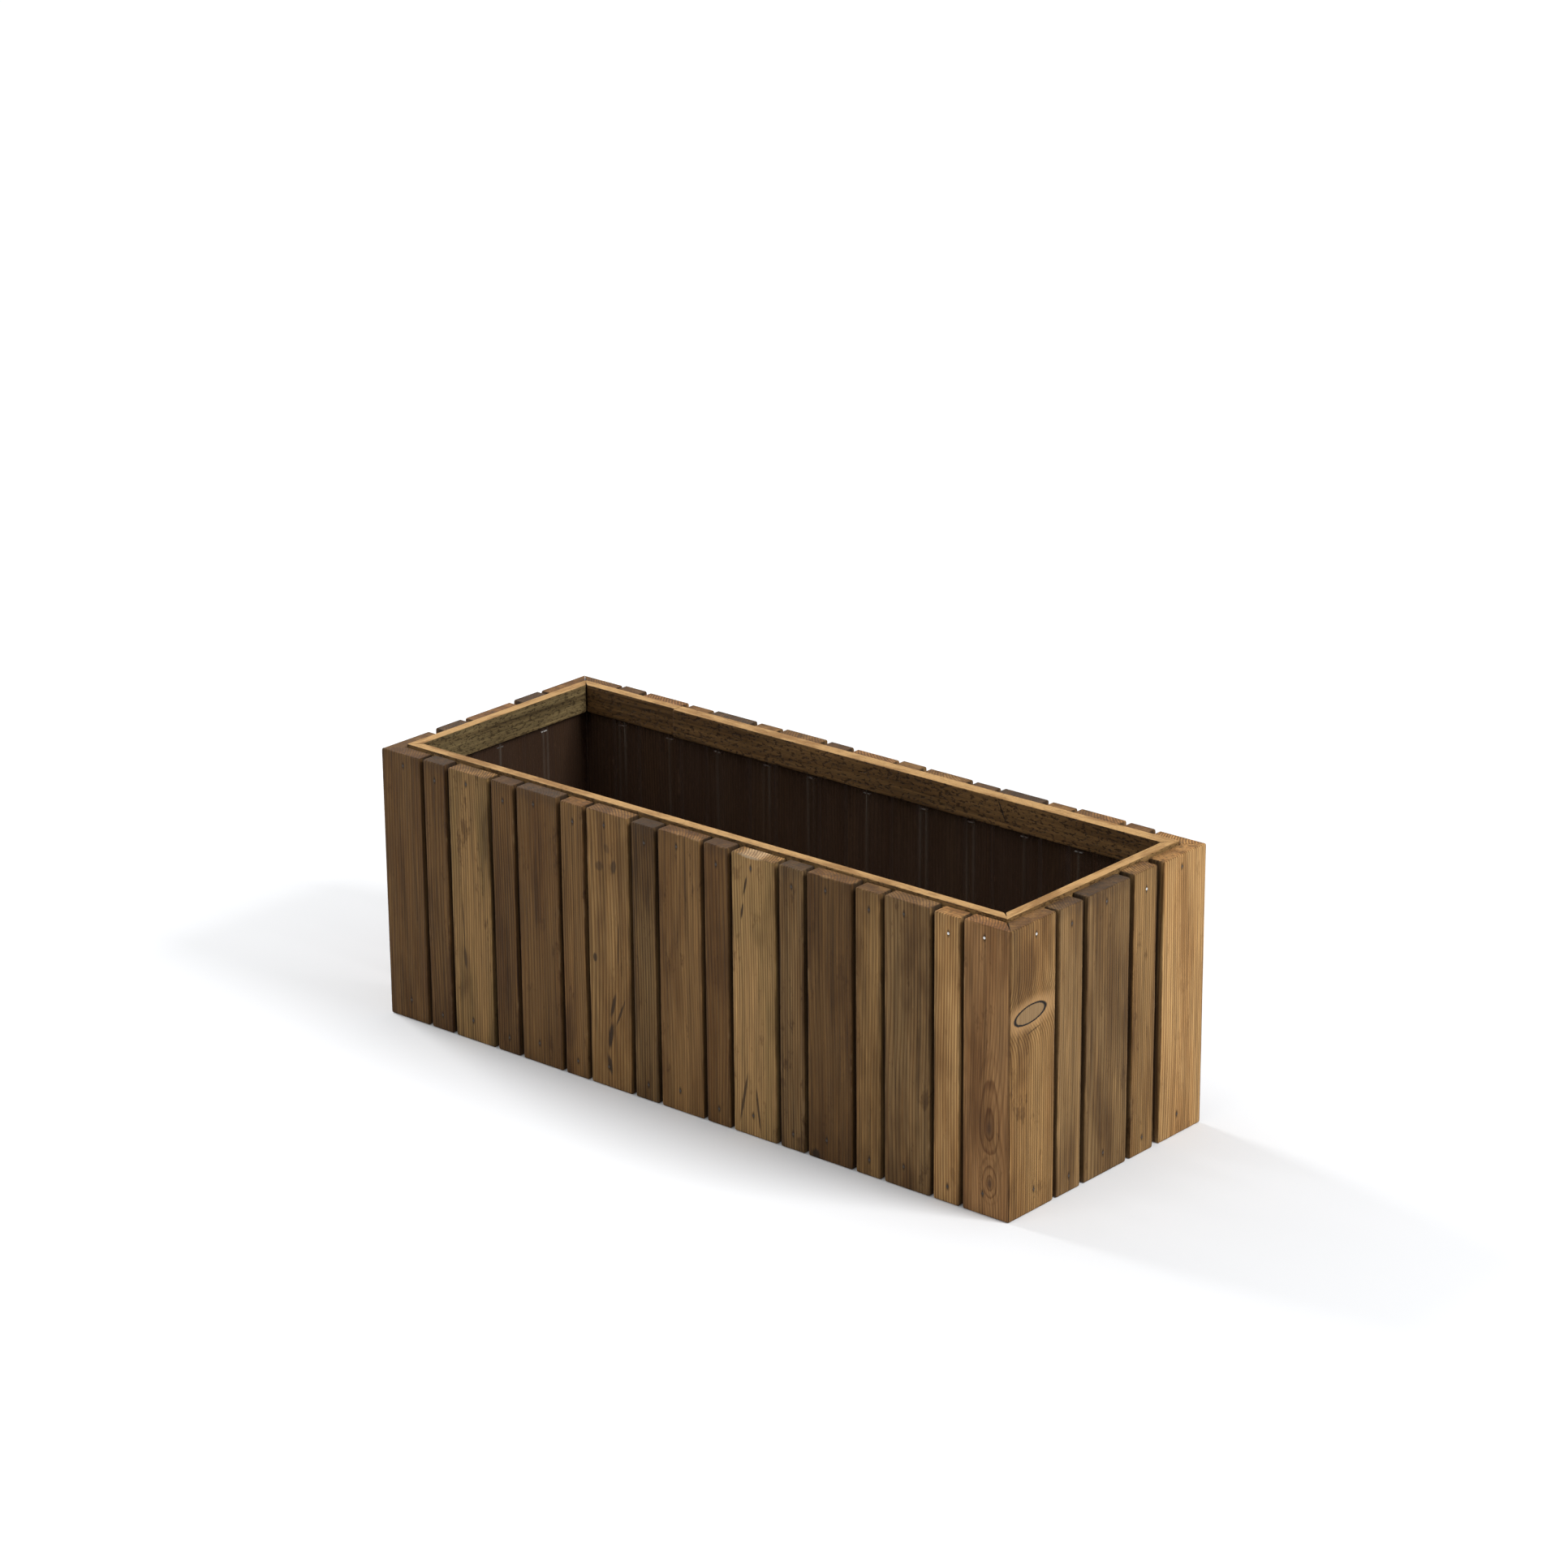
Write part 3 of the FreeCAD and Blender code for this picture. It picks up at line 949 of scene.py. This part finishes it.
# The numbers that set the boards apart: the slats' go on from wall to wall by so many
WALL_NUMBERS = 20
FIRST_RAIL = 101
FIRST_BOTTOM_RAIL = 111
FIRST_BASE_BOARD = 121
BEARER = 125


def slat_node(wall_name, number):
    return "%s_slat_%02d" % (wall_name, number)


def span_of(node, direction):
    """A node's lowest and highest reach along a direction."""
    low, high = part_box(node)
    return sorted((low.dot(direction), high.dot(direction)))


def slat_outlines(wall, node, number):
    """A slat's outlines at its bottom and at its top, mitred at the box's corners."""
    u_low, u_high = span_of(node, wall.across)
    v_low, v_high = span_of(node, wall.inward)
    inner_low = u_low + SLAT_THICKNESS if number == 1 else u_low
    inner_high = u_high - SLAT_THICKNESS if number == wall.count else u_high
    flat = [(u_low, v_low), (u_high, v_low), (inner_high, v_high), (inner_low, v_high)]
    return [
        [wall.across * u + wall.inward * v + UP * height for u, v in flat] for height in span_of(node, UP)
    ]


def nail_head_places():
    """The points of the nails' own node that lie on the outside of a wall, as (wall, across, height)."""
    faces = {name: span_of(slat_node(name, 2), wall.inward)[0] for name, wall in WALLS.items()}
    places = []
    for vertex in frame["nodes"]["brad_nails"].data.vertices:
        for name, wall in WALLS.items():
            if abs(vertex.co.dot(wall.inward) - faces[name]) < NAIL_HEAD_REACH:
                places.append((name, vertex.co.dot(wall.across), vertex.co.z))
    return places


def mean(values):
    return sum(values) / len(values)


def slat_nails(wall_name, board, head_places):
    """Where a slat's nails are, from its middle: across, the upper one's height and the lower one's."""
    across = WALLS[wall_name].across
    u_low, u_high = span_of(board.node, across)
    here = [(u, z) for name, u, z in head_places if name == wall_name and u_low < u < u_high]
    middle_u, middle_z = board.middle.dot(across), board.middle.z
    nail_u = mean([u for u, _ in here])
    upper_z = mean([z for _, z in here if z > middle_z])
    lower_z = mean([z for _, z in here if z <= middle_z])
    return Vector((nail_u - middle_u, upper_z - middle_z, lower_z - middle_z))


def slat_look(wall, number, order):
    side = 1 if order % 2 else -1
    stain = Vector(STAINS[wall.stains.split()[number - 1]]) * uneven("stain", order)
    tint = MORE_OLIVE if order % OLIVE_EVERY == OLIVE_FIRST else REDDER
    return Look(
        heart=Vector((side * uneven("heart_across", order), uneven("heart_behind", order), 0.0)),
        stain=stain,
        second_stain=stain * uneven("second_stain", order) * tint,
        blotches=uneven("blotches", order),
        contrast=uneven("contrast", order),
        soak=wall.dark_tops.get(number, uneven("soak", order)),
    )


def slat(wall_name, number, woods, head_places):
    wall = WALLS[wall_name]
    node = slat_node(wall_name, number)
    start, end = slat_outlines(wall, node, number)
    order = number + WALL_NUMBERS * list(WALLS).index(wall_name)
    look = slat_look(wall, number, order)
    board = Board(node, start, end, wall.across, wall.inward, order, look)
    board.nails = slat_nails(wall_name, board, head_places)
    board.end_wear = SLAT_END_WEAR
    # The slats get painted shade on their sides in the gaps and on their backs
    board.gap_shade = GAP_SHADE
    if wall.count == END_WALL_SLATS and 1 < number < wall.count:
        board.wander = END_WALL_WANDER
    board.build(woods.get(node, woods["slat"]))


def lying_board(node, wall_name, number, wood, stain, cut_low=0.0, cut_high=0.0):
    """A board that lies along a wall, as its grain does. Its inner face is shorter by cut_low at the end
    that comes first along the wall, and by cut_high at the other."""
    wall = WALLS[wall_name]
    u_low, u_high = span_of(node, wall.across)
    v_low, v_high = span_of(node, wall.inward)
    z_low, z_high = span_of(node, UP)

    def cut_end(outer, inner):
        lower = [(outer, v_low, z_low), (inner, v_high, z_low)]
        upper = [(inner, v_high, z_high), (outer, v_low, z_high)]
        return [wall.across * u + wall.inward * v + UP * z for u, v, z in lower + upper]

    start = cut_end(u_low, u_low + cut_low)
    end = cut_end(u_high, u_high - cut_high)
    look = Look(
        heart=Vector((RAIL_HEART_ACROSS, uneven("rail_heart_behind", number), 0.0)),
        stain=Vector(STAINS[stain]),
        second_stain=Vector(STAINS[stain]) * RAIL_SECOND_STAIN,
        blotches=RAIL_BLOTCHES,
        contrast=RAIL_CONTRAST,
        soak=RAIL_SOAK,
    )
    Board(node, start, end, wall.inward, UP, number, look).build(wood)


def rails(woods):
    """The top rails, with mitred corners and a square joint in the back one, and the bottom rails."""
    corner, stout = RAIL_THICKNESS, STOUT_RAIL_THICKNESS
    top_rails = (
        ("front", "front", "rail", "tan", corner, corner),
        ("right", "right", "rail", "tan", corner, stout),
        ("left", "left", "rail", "green", corner, corner),
        ("back_long", "back", "cracked_rail", "walnut", corner, 0.0),
        ("back_short", "back", "rail", "umber", 0.0, corner),
    )
    for number, (name, wall_name, wood, stain, cut_low, cut_high) in enumerate(top_rails, FIRST_RAIL):
        node = "top_rail_" + name
        lying_board(node, wall_name, number, woods[wood], stain, cut_low, cut_high)
    for number, wall_name in enumerate(WALLS, FIRST_BOTTOM_RAIL):
        node = "bottom_rail_" + wall_name
        lying_board(node, wall_name, number, woods["plain"], "walnut", corner, corner)


def base(woods):
    for index in range(3):
        node = "base_board_%d" % (index + 1)
        lying_board(node, "front", FIRST_BASE_BOARD + index, woods["plain"], "tan")
    lying_board("base_bearer", "right", BEARER, woods["plain"], "tan")


# ---------------------------------------------------------------- liner


Column = namedtuple("Column", "foot inward along staples wall")


def staple_places():
    """The middle of each staple."""
    groups = {}
    for vertex in frame["nodes"]["staples"].data.vertices:
        cell = (round(vertex.co.x / STAPLE_CELL), round(vertex.co.y / STAPLE_CELL))
        groups.setdefault(cell, []).append(vertex.co.copy())
    return [sum(group, Vector()) / len(group) for group in groups.values()]


def film_columns(low, high):
    """The upright lines of points that the liner's four walls are made of, one after another."""
    corners = [
        Vector((x, y, 0)) for x, y in ((low.x, low.y), (high.x, low.y), (high.x, high.y), (low.x, high.y))
    ]
    staples = staple_places()
    columns = []
    for wall, here in enumerate(corners):
        there = corners[(wall + 1) % 4]
        length = (there - here).length
        inward = UP.cross(there - here).normalized()
        near = [staple - here for staple in staples if abs((staple - here).dot(inward)) < STAPLE_REACH]
        alongs = [offset.dot((there - here).normalized()) for offset in near]
        count = int(length / FILM_STEP)
        for number in range(count):
            foot = here.lerp(there, number / count)
            columns.append(Column(foot, inward, length * number / count, alongs, wall))
    return columns


def film_point(column, height, top):
    """A point of the film and how much of a pleat it is on: slack between the staples, with a fine pleat
    hanging from each."""
    drop = top - height
    slack_place = (column.along * SLACK_WAVES, height * SLACK_WAVES_DOWN, column.wall * SLACK_WALL_STEP)
    slack = FILM_SLACK * (1 + noise.noise(Vector(slack_place)))
    pleat = 0.0
    for staple in column.staples:
        away = (column.along - staple) / (PLEAT_HALF_WIDTH * (1 + drop * PLEAT_WIDENING))
        fade = max(0.0, 1 - drop / PLEAT_LENGTH)
        pleat = max(pleat, math.exp(-away * away) * PLEAT_DEPTH * fade)
    corner_share = min(1.0, column.along / FILM_CORNER)
    inset = FILM_OFFSET + (slack + pleat) * corner_share
    return column.foot + column.inward * inset + UP * height, pleat / PLEAT_DEPTH


def film_height(column, share, bottom, top):
    """How high a point is at a share of the way up its column. The film's top edge is a little wavy."""
    wave = noise.noise(Vector((column.along * TOP_WAVES, column.wall * TOP_WALL_STEP, TOP_WAVE_PLACE)))
    return bottom + FILM_FLOOR_GAP + (top - bottom - FILM_HEIGHT_LOSS) * share + TOP_WAVE * wave * share


def liner(material):
    low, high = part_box("film_liner")
    columns = film_columns(low, high)
    rows = int((high.z - low.z) / FILM_ROW)
    points, pleats = [], []
    for row in range(rows + 1):
        for column in columns:
            height = film_height(column, row / rows, low.z, high.z)
            point, pleat = film_point(column, height, high.z)
            points.append(point)
            pleats.append(pleat)
    faces = tube_faces(len(columns), rows + 1)
    faces.append(tuple(reversed(range(len(columns)))))
    piece = new_piece("film_liner_sheet", points, faces, 1, material)
    # How much of a pleat each point is on, which the film's graph paints its highlight by
    add_numbers(piece.data, "pleat", pleats)
    piece.data.update()
    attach(piece, "root")
    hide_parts("film_liner")
    length, width, height = high - low


# ---------------------------------------------------------------- nails and staples


def fasteners():
    """Give the nails and the staples, which stay as they are, their steel."""
    steels = {
        "brad_nails": steel_material(
            "nail_steel", COLOURS["bright_nail"], COLOURS["dull_nail"], NAIL_BRIGHT_SHARE, BRIGHT_NAILS_FROM
        ),
        "staples": steel_material(
            "staple_steel", COLOURS["bright_staple"], COLOURS["dull_staple"], STAPLE_BRIGHT_SHARE
        ),
    }
    for node, steel in steels.items():
        mesh = frame["nodes"][node].data
        mesh.materials.clear()
        mesh.materials.append(steel)


# ---------------------------------------------------------------- studio


def camera():
    data = bpy.data.cameras.new("camera")
    data.sensor_width = CAMERA_SENSOR
    data.lens = CAMERA_LENS
    data.clip_end = CAMERA_REACH
    holder = bpy.data.objects.new("camera", data)
    bpy.context.scene.collection.objects.link(holder)
    turn = Matrix.Rotation(CAMERA_TURN, 4, "Z") @ Matrix.Rotation(math.pi / 2 - CAMERA_DOWN, 4, "X")
    holder.matrix_world = Matrix.Translation(CAMERA_PLACE) @ turn @ Matrix.Rotation(CAMERA_ROLL, 4, "Z")
    bpy.context.scene.camera = holder


def shown_directly(g):
    """1 for what the camera sees directly, in a reflection or through glass, 0 for the light on things."""
    path = g.add("LightPath", {})
    first = g.math("MAXIMUM", path.outputs["Is Camera Ray"], path.outputs["Is Glossy Ray"])
    return g.math("MAXIMUM", first, path.outputs["Is Transmission Ray"])


def world():
    g = Graph(bpy.data.worlds.new("studio"))
    strength = g.between(shown_directly(g), 0.0, 1.0, WORLD_LIGHT, 1.0)
    background = g.add("Background", {"Color": COLOURS["white"], "Strength": strength})
    bpy.context.scene.world = g.output("World", background.outputs[0])


def floor():
    """A pale floor that turns white further out, and keeps the box's shadow."""
    half = FLOOR_SIZE / 2
    corners = [(-half, -half, 0), (half, -half, 0), (half, half, 0), (-half, half, 0)]
    g = Graph(bpy.data.materials.new("floor"))
    diffuse = g.add("BsdfDiffuse", {"Color": COLOURS["floor"]})
    away = g.vector("LENGTH", g.add("NewGeometry", {}).outputs["Position"])
    glow_strength = g.math("MULTIPLY", shown_directly(g), g.ranged("floor_glow", away))
    glow = g.add("Emission", {"Color": COLOURS["white"], "Strength": glow_strength})
    both = g.add("AddShader", {0: diffuse.outputs[0], 1: glow.outputs[0]})
    plane = new_piece("floor", corners, [(0, 1, 2, 3)], 1, g.output("Material", both.outputs[0]))
    plane.location.z = -FLOOR_CLEARANCE


def lamp(name, place, aim_height, size, power):
    data = bpy.data.lights.new(name, "AREA")
    data.shape = "RECTANGLE"
    data.size, data.size_y = size
    data.energy = power
    holder = bpy.data.objects.new(name, data)
    bpy.context.scene.collection.objects.link(holder)
    holder.location = place
    holder.rotation_euler = (UP * aim_height - Vector(place)).to_track_quat("-Z", "Y").to_euler()


def studio():
    bpy.context.scene.view_settings.view_transform = "Standard"
    camera()
    world()
    floor()
    for name, settings in LAMPS.items():
        lamp(name, *settings)


def main():
    studio()
    woods = make_woods()
    head_places = nail_head_places()
    for wall_name, wall in WALLS.items():
        for number in range(1, wall.count + 1):
            slat(wall_name, number, woods, head_places)
    rails(woods)
    base(woods)
    liner(film_material())
    fasteners()


main()
